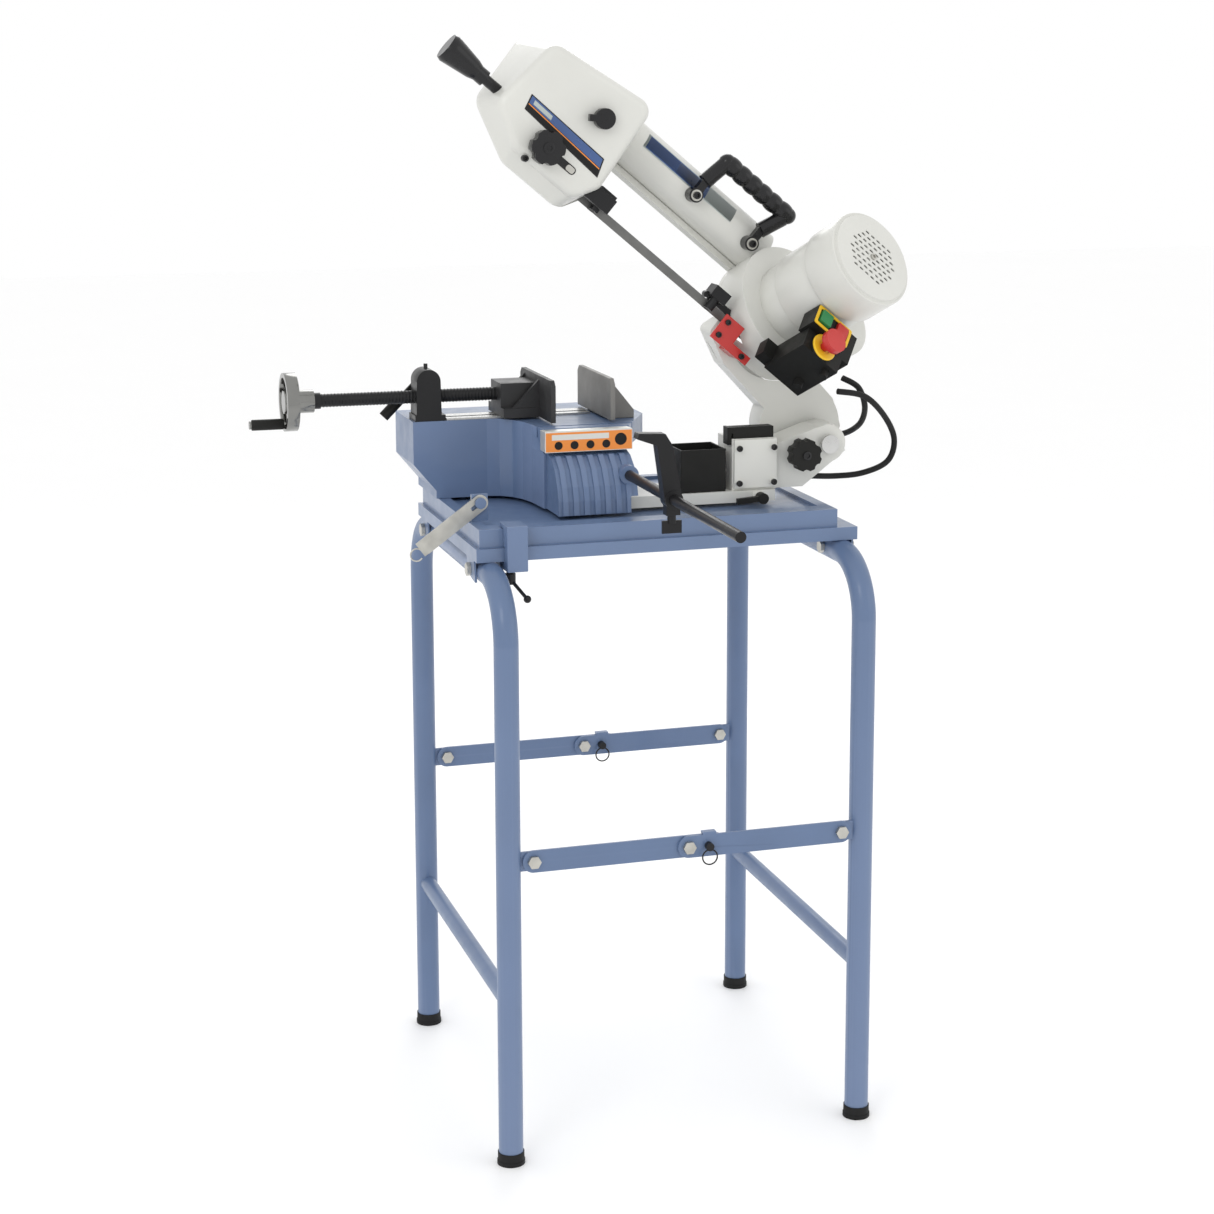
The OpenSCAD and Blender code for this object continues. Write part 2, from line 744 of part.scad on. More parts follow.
// Involute spur gear outline
function involute(base, a) = base * [cos(a) + a * PI / 180 * sin(a), sin(a) - a * PI / 180 * cos(a)];
function polar(r, a) = [r * cos(a), r * sin(a)];
function turn(p, a) = [p[0] * cos(a) - p[1] * sin(a), p[0] * sin(a) + p[1] * cos(a)];
function gear_points(n, m, slack = 0.16) =
    let (pitch = n * m / 2, base = pitch * cos(20), tip = pitch + 0.92 * m, root = pitch - 1.25 * m,
         start = sqrt(max(0, pow(max(root, base) / base, 2) - 1)) * 180 / PI,
         end = sqrt(pow(tip / base, 2) - 1) * 180 / PI, lead = tan(20) * 180 / PI - 20,
         half = 90 / n - slack / pitch * 90 / PI + lead,
         flank = [for (k = [0 : 4]) involute(base, start + (end - start) * k / 4)],
         back = [for (k = [4 : -1 : 0]) [flank[k][0], -flank[k][1]]])
    [for (i = [0 : n - 1]) let (a = 360 * i / n) each concat(
        [polar(root, a - half - (90 / n - half) * 0.3)],
        [for (p = flank) turn(p, a - half)],
        [for (p = back) turn(p, a + half)],
        [polar(root, a + half + (90 / n - half) * 0.3)])];

module gear(n, x, y1, y2, phase) {
    translate([x, y2, band_r]) rotate([90, 0, 0]) rotate([0, 0, phase])
        linear_extrude(y2 - y1) polygon(gear_points(n, tooth_m));
}

module drive_shaft() {
    color("silver") place() wheels() {
        yrod(10, -46, 12, drive_x, band_r);
        gear(60, drive_x, -57, -46, 0);
    }
}

module reduction_gear() {
    color("silver") place() wheels() {
        gear(20, counter_x, -58, -45, 180 / 20);
        gear(64, counter_x, -70, -59, 0);
        yrod(6, -76, -41.5, counter_x, band_r);
    }
}

module motor_rotor() {
    color("gray") place() wheels() {
        gear(16, drive_x, -70, -60, 180 / 16);
        yrod(7.5, -196, -69, drive_x, band_r);
        yrod(34, -138, -98, drive_x, band_r);
        yrod(18, -190, -166, drive_x, band_r);
        for (a = [0 : 45 : 315]) translate([drive_x, -178, band_r]) rotate([0, a, 0])
            block([16, -10, -1.2], [60, 10, 1.2]);
    }
}

module bearings() {
    color("silver") place() wheels() {
        ring(20, 10 + fit, -40, -31, drive_x);
        ring(17.5, 7.5 + fit, -90, -80, drive_x);
        ring(17.5, 7.5 + fit, -152, -143, drive_x);
    }
}

module ring(outer, inner, y1, y2, x) {
    difference() {
        yrod(outer, y1, y2, x, band_r);
        yrod(inner, y1 - 1, y2 + 1, x, band_r);
    }
}

module case_shape(r1, r2, y1, y2) {
    yrod(r1, y1, y2, drive_x, band_r);
    yrod(r2, y1, y2, counter_x, band_r);
}

module gearbox_case() {
    color("white") place() wheels() difference() {
        case_shape(66, 56, -78, -40 - fit);
        case_shape(60, 50.5, -73, -42);
        yrod(20 + fit, -43, -39, drive_x, band_r);
        yrod(6 + fit, -77, -40.8, counter_x, band_r);
        yrod(12, -79, -70, drive_x, band_r);
    }
}

module motor_housing() {
    color("white") place() wheels() difference() {
        union() {
            yrod(motor_r, -150, -78 - fit, drive_x, band_r);
            block([drive_x - 12, -140, band_r + motor_r - 3], [drive_x + 12, -96, band_r + motor_r + 8]);
        }
        yrod(motor_r - 7, -142, -92, drive_x, band_r);
        yrod(17.5 + fit, -93, -80, drive_x, band_r);
        yrod(12, -93, -77, drive_x, band_r);
        yrod(17.5 + fit, -152, -141, drive_x, band_r);
    }
}

// Short slot of the grille, left out at the rim and under the middle bolt
module fan_slot(x, z) {
    if (norm([x, z]) < 41 && norm([x, z]) > 8)
        block([drive_x + x - 3.5, -220, band_r + z - 1.7], [drive_x + x + 3.5, -210, band_r + z + 1.7]);
}

module fan_cover() {
    color("white") place() wheels() difference() {
        union() {
            yrod(motor_r + 4, -212, -150 - fit, drive_x, band_r);
            yrod(motor_r - 2, -217, -211, drive_x, band_r);
        }
        yrod(motor_r + 1.5, -209, -149, drive_x, band_r);
        yrod(motor_r - 5, -214, -200, drive_x, band_r);
        for (row = [-4 : 4], i = [-4 : 4]) fan_slot(11 * i + (row % 2 == 0 ? 0 : 5.5), 8.5 * row);
    }
}

module tension_slide() {
    color("dimgray") place() wheels() {
        yrod(12, -24, 12, idler_x, band_r);
        block([idler_x - 16, -33, band_r - 33], [idler_x + 30, -24, band_r + 16]);
        difference() {
            block([idler_x - 30, -38, band_r - 62], [idler_x + 6, -14, band_r - 32]);
            xrod(8 + gap, idler_x - 40, idler_x + 1, -25, band_r - 47);
        }
    }
}

module tension_handle() {
    color("black") place() bow() {
        xrod(8, -734, idler_x - 8, tension_y, tension_z);
        translate([-734, tension_y, tension_z]) rotate([0, -90, 0]) {
            cylinder(r = 12, h = 14);
            rotate_extrude() polygon([[0, 13], [12, 13], [15, 22], [22, 66], [20, 72], [0, 72]]);
        }
    }
}

// Grip on two brackets bolted to the front of the backbone
module carry_handle() {
    color("black") place() bow() {
        for (k = [0, 1]) {
            foot = handle_foot[k];
            yrod(11, handle_y - 10, handle_y + 12.5, foot, 167);
            block([foot - 6, handle_y - 7, 167], [foot + 6, handle_y + 7, 200]);
            translate([foot, handle_y, 192])
                rotate([0, atan2(handle_top[k] - foot, handle_z - 192), 0]) cylinder(r = 12, h = 40);
            translate([handle_top[k], handle_y, handle_z]) sphere(13);
        }
        xrod(12, handle_top[0], handle_top[1], handle_y, handle_z);
    }
}

module guide_arm() {
    color("dimgray") place() bow() {
        block([-640, 214.3, 49], [-478, 227, 73]);
    }
}

module upper_guide() {
    color("black") place() bow() guide_block(-492, 1);
}

module lower_guide() {
    color("black") place() bow() {
        guide_block(-262, -1);
        block([-262, 250, 56], [-217, 256, 66]);
    }
}

// Two rollers pinch the blade and a third backs it
module guide_block(x, side) {
    block([x - 14, blade_y - 18, blade_z + 13], [x + 14, blade_y + 12, blade_z + 31]);
    for (s = [-1, 1]) difference() {
        zrod(7, blade_z - 5, blade_z + 14, x, blade_y + s * (7 + blade_t / 2 + 0.15));
        zrod(2, blade_z - 6, blade_z - 4, x, blade_y + s * (7 + blade_t / 2 + 0.15));
    }
    yrod(5, blade_y - 6, blade_y + 6, x + side * 14, blade_z + blade_w / 2 + 5.3);
}

module blade_guard() {
    color("red") place() bow() {
        block([-240, 218, 12], [-204, 221, 54]);
        block([-205, 218, 12], [-168, 221, 26]);
        block([-205, 220, 12], [-184, 255.9, 22]);
    }
}

module star_knob(r, n, h) {
    difference() {
        cylinder(r = r, h = h);
        for (i = [0 : n - 1]) rotate([0, 0, 360 / n * i]) translate([r * 1.16, 0, -1])
            cylinder(r = r * 0.3, h = h + 2);
    }
}

module arm_knob() {
    color("black") place() bow() translate([-614, 200, 63]) rotate([90, 0, 0]) {
        star_knob(25, 6, 20);
        translate([0, 0, -14]) cylinder(r = 5, h = 15);
    }
}

module wing_knob() {
    color("black") place() bow() translate([-573, 205 - gap, 149]) rotate([90, 0, 0]) {
        cylinder(r = 15, h = 14);
        rotate([0, 0, 35]) translate([-24, -5, 6]) cube([24, 10, 9]);
    }
}

// ---- switch ----
panel_y = -132;
start_x = -149;
stop_x = -118;
button_z = -14;

module switch_box() {
    color("black") place() wheels() difference() {
        union() {
            block([-161, panel_y, -68], [-92, -45, -30]);
            block([-166, -146, -32], [-100, -112, 4]);
            block([-100.1, -132, -40], [-80, -108, 16]);
            block([-180, -60, -60], [-150, -41, -30]);
            yrod(20, panel_y - 4, panel_y + 1, -130, -50);
            zrod(7, -80, -67, -112, -70);
            zrod(6, -80, -67, -104, -118);
        }
        yrod(7 + fit, panel_y - 5, panel_y + 22, -130, -50);
        for (x = [start_x, stop_x])
            block([x - 10.1, -147, button_z - 11.1], [x + 10.1, -128, button_z + 11.1]);
    }
}

module push_button(x) {
    wheels() block([x - 9.8, -152, button_z - 10.8], [x + 9.8, -133, button_z + 10.8]);
}

module start_button() {
    color("green") place() push_button(start_x);
}

module stop_button() {
    color("red") place() push_button(stop_x);
}

module estop_button() {
    color("red") place() wheels() {
        yrod(7, -154, -118, -130, -50);
        yrod(18, -164, -153, -130, -50);
    }
}

// ---- leads ----
// Ring of points across a route, and the skin between the rings
function along(p, i) = unit(p[min(i + 1, len(p) - 1)] - p[max(i - 1, 0)]);
function side_of(t) = unit(cross(t, [0, 1, 0.2]));
function smooth(p, n) = concat([for (i = [0 : len(p) - 2], k = [0 : n - 1])
    let (t = k / n, a = p[max(i - 1, 0)], b = p[i], c = p[i + 1], d = p[min(i + 2, len(p) - 1)])
    0.5 * (2 * b + (c - a) * t + (2 * a - 5 * b + 4 * c - d) * t * t + (3 * b - a - 3 * c + d) * t * t * t)],
    [p[len(p) - 1]]);

module tube(points, r, n = 8) {
    last = len(points) - 1;
    rings = [for (i = [0 : last]) let (t = along(points, i), u = side_of(t), v = cross(t, u))
        for (k = [0 : n - 1]) points[i] + r * (cos(360 * k / n) * u + sin(360 * k / n) * v)];
    sides = [for (i = [0 : last - 1], k = [0 : n - 1])
        let (a = i * n + k, b = i * n + (k + 1) % n) each [[a, b, b + n], [a, b + n, a + n]]];
    ends = [[for (k = [n - 1 : -1 : 0]) k], [for (k = [0 : n - 1]) last * n + k]];
    polyhedron(rings, concat(sides, ends));
}

motor_lead_route = [[560, 170, 1085], [585, 168, 1070], [603, 185, 1040], [611, 215, 1012], [612, 255, 992],
    [606, 290, 980], [594, 316, 976], [581, 321, 977], [573, 314, 979], [571, 304 + gap, 980]];
switch_lead_route = [[545, 150, 1068], [590, 155, 1058], [630, 175, 1025], [656, 195, 985], [650, 205, 950],
    [615, 216, 932], [572, 228, 927], [gland_x + gap, gland_y, gland_z]];

module motor_lead() {
    color("black") place() tube(smooth(motor_lead_route, 4), 4.5);
}

module switch_lead() {
    color("black") place() tube(smooth(switch_lead_route, 4), 3.5);
}

left_frame();
right_frame();
foot_caps();
brace_links();
stand_bolts();
front_brace_pin();
rear_brace_pin();
tray();
edge_clamp();
clamp_screw();
latch_bar();
base_casting();
bed_rails();
fixed_jaw();
moving_jaw();
screw_bracket();
release_lever();
lead_screw();
handwheel();
handwheel_grip();
support_bar();
stop_rod();
stop_arm();
stop_screw();
swivel_arm();
column();
column_cover();
lock_lever();
chip_bin();
limit_switch();
feed_knob();
pivot_shaft();
bow_frame();
head_housing();
rear_covers();
blade();
drive_wheel();
drive_shaft();
idler_wheel();
tension_slide();
tension_handle();
gearbox_case();
reduction_gear();
motor_housing();
fan_cover();
motor_rotor();
bearings();
carry_handle();
guide_arm();
upper_guide();
lower_guide();
blade_guard();
arm_knob();
wing_knob();
switch_box();
start_button();
stop_button();
estop_button();
motor_lead();
switch_lead();
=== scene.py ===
# Looks of the metal-cutting band saw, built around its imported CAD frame. Units are metres.
import json
import math

import bmesh
import bpy
from mathutils import Matrix, Vector
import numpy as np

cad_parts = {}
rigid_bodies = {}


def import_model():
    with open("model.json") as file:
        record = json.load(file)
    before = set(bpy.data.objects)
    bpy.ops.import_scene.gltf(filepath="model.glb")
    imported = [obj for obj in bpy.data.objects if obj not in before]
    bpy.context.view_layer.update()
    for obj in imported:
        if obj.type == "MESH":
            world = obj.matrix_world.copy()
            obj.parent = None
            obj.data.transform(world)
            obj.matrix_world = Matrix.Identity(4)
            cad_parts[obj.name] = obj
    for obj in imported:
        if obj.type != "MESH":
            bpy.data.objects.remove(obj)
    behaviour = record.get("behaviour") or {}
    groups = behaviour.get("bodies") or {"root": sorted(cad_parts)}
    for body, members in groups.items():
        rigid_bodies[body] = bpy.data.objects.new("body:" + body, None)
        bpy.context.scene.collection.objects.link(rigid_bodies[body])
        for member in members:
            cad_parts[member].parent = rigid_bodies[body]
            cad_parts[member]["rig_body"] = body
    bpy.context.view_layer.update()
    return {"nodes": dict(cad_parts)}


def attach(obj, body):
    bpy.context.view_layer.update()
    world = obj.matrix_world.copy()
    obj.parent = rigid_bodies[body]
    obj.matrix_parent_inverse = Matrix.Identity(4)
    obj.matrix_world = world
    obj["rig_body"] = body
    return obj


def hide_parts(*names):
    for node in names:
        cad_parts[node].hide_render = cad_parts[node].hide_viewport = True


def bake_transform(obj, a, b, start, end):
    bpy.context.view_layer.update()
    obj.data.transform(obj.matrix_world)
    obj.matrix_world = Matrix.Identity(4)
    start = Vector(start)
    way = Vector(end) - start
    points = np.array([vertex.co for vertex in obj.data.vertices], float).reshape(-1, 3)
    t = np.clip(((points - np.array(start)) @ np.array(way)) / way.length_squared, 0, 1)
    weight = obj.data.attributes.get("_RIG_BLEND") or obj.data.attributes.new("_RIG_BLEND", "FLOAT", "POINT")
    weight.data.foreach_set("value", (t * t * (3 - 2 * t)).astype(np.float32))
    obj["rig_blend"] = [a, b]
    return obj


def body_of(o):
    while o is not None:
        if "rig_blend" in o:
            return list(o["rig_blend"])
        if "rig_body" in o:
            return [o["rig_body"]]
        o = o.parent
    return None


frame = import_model()
NODES = frame["nodes"]
MM = 0.001

# ---------------------------------------------------------------- places
# Datum of part.scad: the floor under the front left leg, in the row frame
DATUM = Vector((-185, -119, 0)) * MM
BOW_REST = math.radians(40)
BAND_TILT = math.radians(38)
PIVOT = DATUM + Vector((545, 0, 985)) * MM
# From the bow's own frame, and from the band wheels' frame, to the row frame
BOW = Matrix.Translation(PIVOT) @ Matrix.Rotation(BOW_REST, 4, "Y")
WHEELS = BOW @ Matrix.Translation(Vector((0, 245, 48)) * MM) @ Matrix.Rotation(-BAND_TILT, 4, "X")
FRONT = Matrix.Translation(DATUM)


def mm(x, y, z):
    return Vector((x, y, z)) * MM


# ---------------------------------------------------------------- materials
def nodes_of(material):
    tree = material.node_tree
    return tree.nodes, tree.links


def noise(material, scale, detail=3.0, stretch=(1, 1, 1)):
    """A noise over the object's own coordinates, in features per metre."""
    nodes, links = nodes_of(material)
    coordinates = nodes.new("ShaderNodeTexCoord")
    mapping = nodes.new("ShaderNodeMapping")
    mapping.inputs["Scale"].default_value = stretch
    texture = nodes.new("ShaderNodeTexNoise")
    texture.inputs["Scale"].default_value = scale
    texture.inputs["Detail"].default_value = detail
    links.new(coordinates.outputs["Object"], mapping.inputs["Vector"])
    links.new(mapping.outputs["Vector"], texture.inputs["Vector"])
    return texture.outputs["Fac"]


def ramp(material, value, low, high, start=0.3, end=0.7):
    """A value turned into a colour between low and high."""
    nodes, links = nodes_of(material)
    colours = nodes.new("ShaderNodeValToRGB")
    colours.color_ramp.elements[0].position = start
    colours.color_ramp.elements[1].position = end
    colours.color_ramp.elements[0].color = (*low, 1)
    colours.color_ramp.elements[1].color = (*high, 1)
    links.new(value, colours.inputs["Fac"])
    return colours.outputs["Color"]


def spread(material, value, low, high):
    """A value turned into a number between low and high."""
    nodes, links = nodes_of(material)
    span = nodes.new("ShaderNodeMapRange")
    span.inputs["From Min"].default_value = 0.3
    span.inputs["From Max"].default_value = 0.7
    span.inputs["To Min"].default_value = low
    span.inputs["To Max"].default_value = high
    links.new(value, span.inputs["Value"])
    return span.outputs["Result"]


def surface(name, colour, rough, metal=0.0, vary=0.06, patch=9.0, grain=900.0, bump=0.05, coat=0.0,
            stretch=(1, 1, 1), edge_highlight=None, shine=0.5):
    """A painted, moulded or ground surface: uneven colour, uneven gloss and a fine bump.
    The colour given for the edges is a painted highlight: a lighter tone laid on the convex edges, where light
    catches them."""
    material = bpy.data.materials.new(name)
    material.use_nodes = True
    nodes, links = nodes_of(material)
    shader = nodes["Principled BSDF"]
    shader.inputs["Metallic"].default_value = metal
    shader.inputs["Coat Weight"].default_value = coat
    shader.inputs["Specular IOR Level"].default_value = shine
    shader.inputs["Coat Roughness"].default_value = 0.08
    dark = tuple(c * (1 - vary) for c in colour)
    light = tuple(min(1, c * (1 + vary)) for c in colour)
    base = ramp(material, noise(material, patch, 4), dark, light)
    # Painted highlight: a lighter colour mixed in on the convex edges, picked out by pointiness.
    if edge_highlight:
        geometry = nodes.new("ShaderNodeNewGeometry")
        edge = nodes.new("ShaderNodeValToRGB")
        edge.color_ramp.elements[0].position = 0.53
        edge.color_ramp.elements[1].position = 0.62
        links.new(geometry.outputs["Pointiness"], edge.inputs["Fac"])
        mix = nodes.new("ShaderNodeMix")
        mix.data_type = "RGBA"
        links.new(edge.outputs["Color"], mix.inputs["Factor"])
        links.new(base, mix.inputs["A"])
        mix.inputs["B"].default_value = (*edge_highlight, 1)
        base = mix.outputs["Result"]
    links.new(base, shader.inputs["Base Color"])
    fine = noise(material, grain, 2, stretch)
    links.new(spread(material, noise(material, patch * 4, 3, stretch), rough * 0.82, rough * 1.18),
              shader.inputs["Roughness"])
    relief = nodes.new("ShaderNodeBump")
    relief.inputs["Strength"].default_value = bump
    relief.inputs["Distance"].default_value = 0.0004
    links.new(fine, relief.inputs["Height"])
    links.new(relief.outputs["Normal"], shader.inputs["Normal"])
    return material


# The lighter blue laid on the convex edges of this paint is a painted highlight.
BLUE = surface("paint_blue", (0.108, 0.165, 0.290), 0.40, vary=0.06, grain=260, bump=0.16, coat=0.2,
               edge_highlight=(0.16, 0.22, 0.36))
TRAY_BLUE = surface("paint_blue_sheet", (0.125, 0.185, 0.315), 0.34, vary=0.05, grain=420, bump=0.08, coat=0.3)
CREAM = surface("paint_white", (0.66, 0.66, 0.62), 0.35, vary=0.03, grain=300, bump=0.12, coat=0.15)
CAST_GREY = surface("jaw_grey", (0.19, 0.185, 0.175), 0.5, metal=0.3, vary=0.16, grain=500, bump=0.35)
CAST_BLACK = surface("jaw_black", (0.030, 0.030, 0.031), 0.48, metal=0.2, vary=0.2, grain=480, bump=0.4)
BLACK_METAL = surface("black_oxide", (0.014, 0.014, 0.015), 0.38, metal=0.3, vary=0.25, grain=700, bump=0.12,
                      shine=0.35)
BLACK_PLASTIC = surface("black_plastic", (0.010, 0.010, 0.009), 0.5, vary=0.15, grain=1500, bump=0.22,
                        shine=0.22)
GLOSS_BLACK = surface("black_gloss", (0.009, 0.009, 0.010), 0.26, vary=0.1, grain=500, bump=0.05, coat=0.15,
                      shine=0.3)
STEEL = surface("bright_steel", (0.56, 0.56, 0.55), 0.32, metal=1.0, vary=0.08, patch=30, grain=1400, bump=0.1)
ZINC = surface("zinc_plate", (0.50, 0.49, 0.45), 0.36, metal=0.9, vary=0.12, patch=60, grain=900, bump=0.12)
CHROME = surface("chrome", (0.24, 0.24, 0.23), 0.16, metal=1.0, vary=0.04, patch=20, grain=200, bump=0.02)
GROUND = surface("ground_steel", (0.47, 0.47, 0.46), 0.28, metal=1.0, vary=0.08, patch=14, grain=260, bump=0.12,
                 stretch=(1, 14, 14))
BLADE = surface("blade_steel", (0.15, 0.15, 0.145), 0.42, metal=0.5, vary=0.12, patch=40, grain=700, bump=0.1)
ALUMINIUM = surface("bar_aluminium", (0.70, 0.70, 0.67), 0.38, metal=0.75, vary=0.05, patch=25, grain=700,
                    bump=0.1)
CAST_WHEEL = surface("cast_wheel", (0.12, 0.12, 0.12), 0.55, metal=0.4, vary=0.2, grain=420, bump=0.4)
RED = surface("red_plastic", (0.50, 0.022, 0.018), 0.34, vary=0.08, grain=900, bump=0.08, coat=0.2)
GREEN = surface("green_plastic", (0.02, 0.22, 0.07), 0.34, vary=0.08, grain=900, bump=0.08, coat=0.2)
YELLOW = surface("yellow_plastic", (0.85, 0.52, 0.02), 0.38, vary=0.05, grain=900, bump=0.08)
ORANGE = surface("orange_label", (0.78, 0.25, 0.04), 0.42, vary=0.05, grain=600, bump=0.03)
LABEL_BLUE = surface("blue_label", (0.05, 0.10, 0.26), 0.30, vary=0.05, grain=600, bump=0.03)
LABEL_GREY = surface("grey_label", (0.42, 0.47, 0.46), 0.32, vary=0.04, grain=600, bump=0.03)
RUBBER = surface("rubber_black", (0.011, 0.011, 0.011), 0.6, vary=0.2, grain=1200, bump=0.25, shine=0.25)

NODE_MATERIAL = {
    "left_frame": BLUE, "right_frame": BLUE, "foot_caps": RUBBER, "brace_links": BLUE, "stand_bolts": ZINC,
    "front_brace_pin": BLACK_METAL, "rear_brace_pin": BLACK_METAL, "tray": TRAY_BLUE, "edge_clamp": BLUE,
    "clamp_screw": BLACK_METAL, "latch_bar": ZINC, "base_casting": BLUE, "bed_rails": GROUND,
    "fixed_jaw": CAST_GREY, "moving_jaw": CAST_BLACK, "screw_bracket": BLACK_METAL,
    "release_lever": BLACK_PLASTIC,
    "lead_screw": BLACK_METAL, "handwheel": CHROME, "handwheel_grip": BLACK_PLASTIC, "support_bar": ALUMINIUM,
    "stop_rod": BLACK_METAL, "stop_arm": BLACK_METAL, "stop_screw": BLACK_METAL, "swivel_arm": CREAM,
    "column": CREAM, "column_cover": CREAM, "lock_lever": BLACK_PLASTIC, "chip_bin": BLACK_PLASTIC,
    "limit_switch": BLACK_PLASTIC, "feed_knob": BLACK_PLASTIC, "pivot_shaft": STEEL, "bow_frame": CREAM,
    "head_housing": CREAM, "rear_covers": CREAM, "blade": BLADE, "drive_wheel": CAST_WHEEL,
    "drive_shaft": STEEL, "idler_wheel": CAST_WHEEL, "tension_slide": CAST_WHEEL, "tension_handle": GLOSS_BLACK,
    "gearbox_case": CREAM, "reduction_gear": STEEL, "motor_housing": CREAM, "fan_cover": CREAM,
    "motor_rotor": STEEL, "bearings": STEEL, "carry_handle": GLOSS_BLACK, "guide_arm": BLACK_METAL,
    "upper_guide": BLACK_METAL, "lower_guide": BLACK_METAL, "blade_guard": RED, "arm_knob": GLOSS_BLACK,
    "wing_knob": GLOSS_BLACK, "switch_box": BLACK_PLASTIC, "start_button": GREEN, "stop_button": RED,
    "estop_button": RED, "motor_lead": RUBBER, "switch_lead": RUBBER,
}
# Widths of the softened edges of the CAD nodes, in millimetres
SOFT_EDGES = {
    "base_casting": 2.5, "tray": 1.0, "head_housing": 2.5, "rear_covers": 2.0, "bow_frame": 2.0, "column": 2.0,
    "column_cover": 1.0, "swivel_arm": 1.5, "fixed_jaw": 1.0, "moving_jaw": 1.0, "screw_bracket": 2.0,
    "gearbox_case": 2.0, "motor_housing": 2.0, "fan_cover": 2.5, "chip_bin": 1.0, "limit_switch": 1.5,
    "switch_box": 2.0, "edge_clamp": 1.5, "brace_links": 0.6, "blade_guard": 0.6, "support_bar": 0.6,
    "stop_arm": 1.5, "feed_knob": 1.0, "arm_knob": 1.0, "wing_knob": 1.0, "guide_arm": 0.8, "upper_guide": 0.6,
    "lower_guide": 0.6, "latch_bar": 0.5, "start_button": 0.8, "stop_button": 0.8, "estop_button": 2.0,
    "handwheel": 1.5, "handwheel_grip": 1.5, "tension_handle": 2.0, "lock_lever": 1.0, "release_lever": 1.5,
    "stand_bolts": 0.4, "foot_caps": 1.0,
}


def smooth_by_angle(obj, degrees=35):
    """Shades smooth across edges flatter than the angle."""
    for polygon in obj.data.polygons:
        polygon.use_smooth = True
    work = bmesh.new()
    work.from_mesh(obj.data)
    limit = math.radians(degrees)
    for edge in work.edges:
        if len(edge.link_faces) == 2 and edge.calc_face_angle(0) > limit:
            edge.smooth = False
    work.to_mesh(obj.data)
    work.free()


def dress(name, material):
    """Gives a CAD node its material and soft edges."""
    obj = NODES[name]
    obj.data.materials.clear()
    obj.data.materials.append(material)
    width = SOFT_EDGES.get(name)
    if width:
        weld = obj.modifiers.new("weld", "WELD")
        weld.merge_threshold = 0.00002
        bevel = obj.modifiers.new("soft_edges", "BEVEL")
        bevel.width = width * MM
        bevel.segments = 2
        bevel.limit_method = "ANGLE"
        bevel.angle_limit = math.radians(38)
        bevel.harden_normals = False
        bevel.use_clamp_overlap = True


for node_name, node_material in NODE_MATERIAL.items():
    dress(node_name, node_material)


# ---------------------------------------------------------------- pieces
FACING = (0, -1, 0)


def make(name, work, material):
    """A piece made of a mesh in the row frame, on no body yet."""
    bmesh.ops.recalc_face_normals(work, faces=work.faces)
    mesh = bpy.data.meshes.new(name)
    work.to_mesh(mesh)
    work.free()
    mesh.materials.append(material)
    piece = bpy.data.objects.new(name, mesh)
    bpy.context.scene.collection.objects.link(piece)
    smooth_by_angle(piece)
    return piece


def add(name, work, material, node):
    """A piece on the body of a CAD node."""
    piece = make(name, work, material)
    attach(piece, body_of(NODES[node])[0])
    return piece


def lathe(work, base, place, axis, profile, segments=32):
    """Turns a profile of (radius, height) about an axis at a place. A negative radius is half the width of a
    hexagon."""
    matrix = base @ Matrix.Translation(mm(*place)) @ Vector(axis).to_track_quat("Z", "Y").to_matrix().to_4x4()
    rings = []
    for radius, height in profile:
        ring = []
        for k in range(segments):
            angle = 2 * math.pi * k / segments
            reach = radius
            if radius < 0:
                reach = -radius / math.cos((angle + math.pi / 6) % (math.pi / 3) - math.pi / 6)
            ring.append(work.verts.new(matrix @ mm(reach * math.cos(angle), reach * math.sin(angle), height)))
        rings.append(ring)
    loft(work, rings)


def loft(work, rings):
    """Joins closed rings of points with faces and closes both ends."""
    for low, high in zip(rings, rings[1:]):
        for k, corner in enumerate(low):
            following = (k + 1) % len(low)
            work.faces.new((corner, low[following], high[following], high[k]))
    work.faces.new(rings[0][::-1])
    work.faces.new(rings[-1])


def plate(work, base, outline, back, front):
    """A flat plate with an outline in X and Z, between two values of Y."""
    loft(work, [[work.verts.new(base @ mm(x, y, z)) for x, z in outline] for y in (back, front)])


def socket_head(radius, height):
    return [(radius, 0), (radius, height * 0.85), (radius * 0.88, height), (-radius * 0.5, height),
            (-radius * 0.48, height * 0.45)]


def screws(name, node, base, places, axis, radius, height, material=None):
    work = bmesh.new()
    for place in places:
        lathe(work, base, place, axis, socket_head(radius, height))
    return add(name, work, material or GLOSS_BLACK, node)


def rounded(points, radius, steps=8):
    """The outline with round corners."""
    out = []
    for before, corner, after in zip(points[-1:] + points[:-1], points, points[1:] + points[:1]):
        corner = Vector(corner)
        to_before = (Vector(before) - corner).normalized()
        to_after = (Vector(after) - corner).normalized()
        half = to_before.angle(to_after) / 2
        centre = corner + (to_before + to_after).normalized() * radius / math.sin(half)
        start = corner + to_before * radius / math.tan(half) - centre
        finish = corner + to_after * radius / math.tan(half) - centre
        sweep = start.angle_signed(finish)
        for k in range(steps + 1):
            turn = -sweep * k / steps
            out.append(centre + Vector((start.x * math.cos(turn) - start.y * math.sin(turn),
                                        start.x * math.sin(turn) + start.y * math.cos(turn))))
    return out


def inset(points, depths):
    """Moves each side of an anticlockwise outline inwards by its own depth; side k starts at corner k."""
    lines = []
    for k, point in enumerate(points):
        along = (Vector(points[(k + 1) % len(points)]) - Vector(point)).normalized()
        inward = Vector((-along.y, along.x))
        lines.append((Vector(point) + inward * depths[k], along))
    out = []
    for k, (place, along) in enumerate(lines):
        other, its_way = lines[k - 1]
        reach = (place - other).cross(along) / its_way.cross(along)
        out.append(other + its_way * reach)
    return out


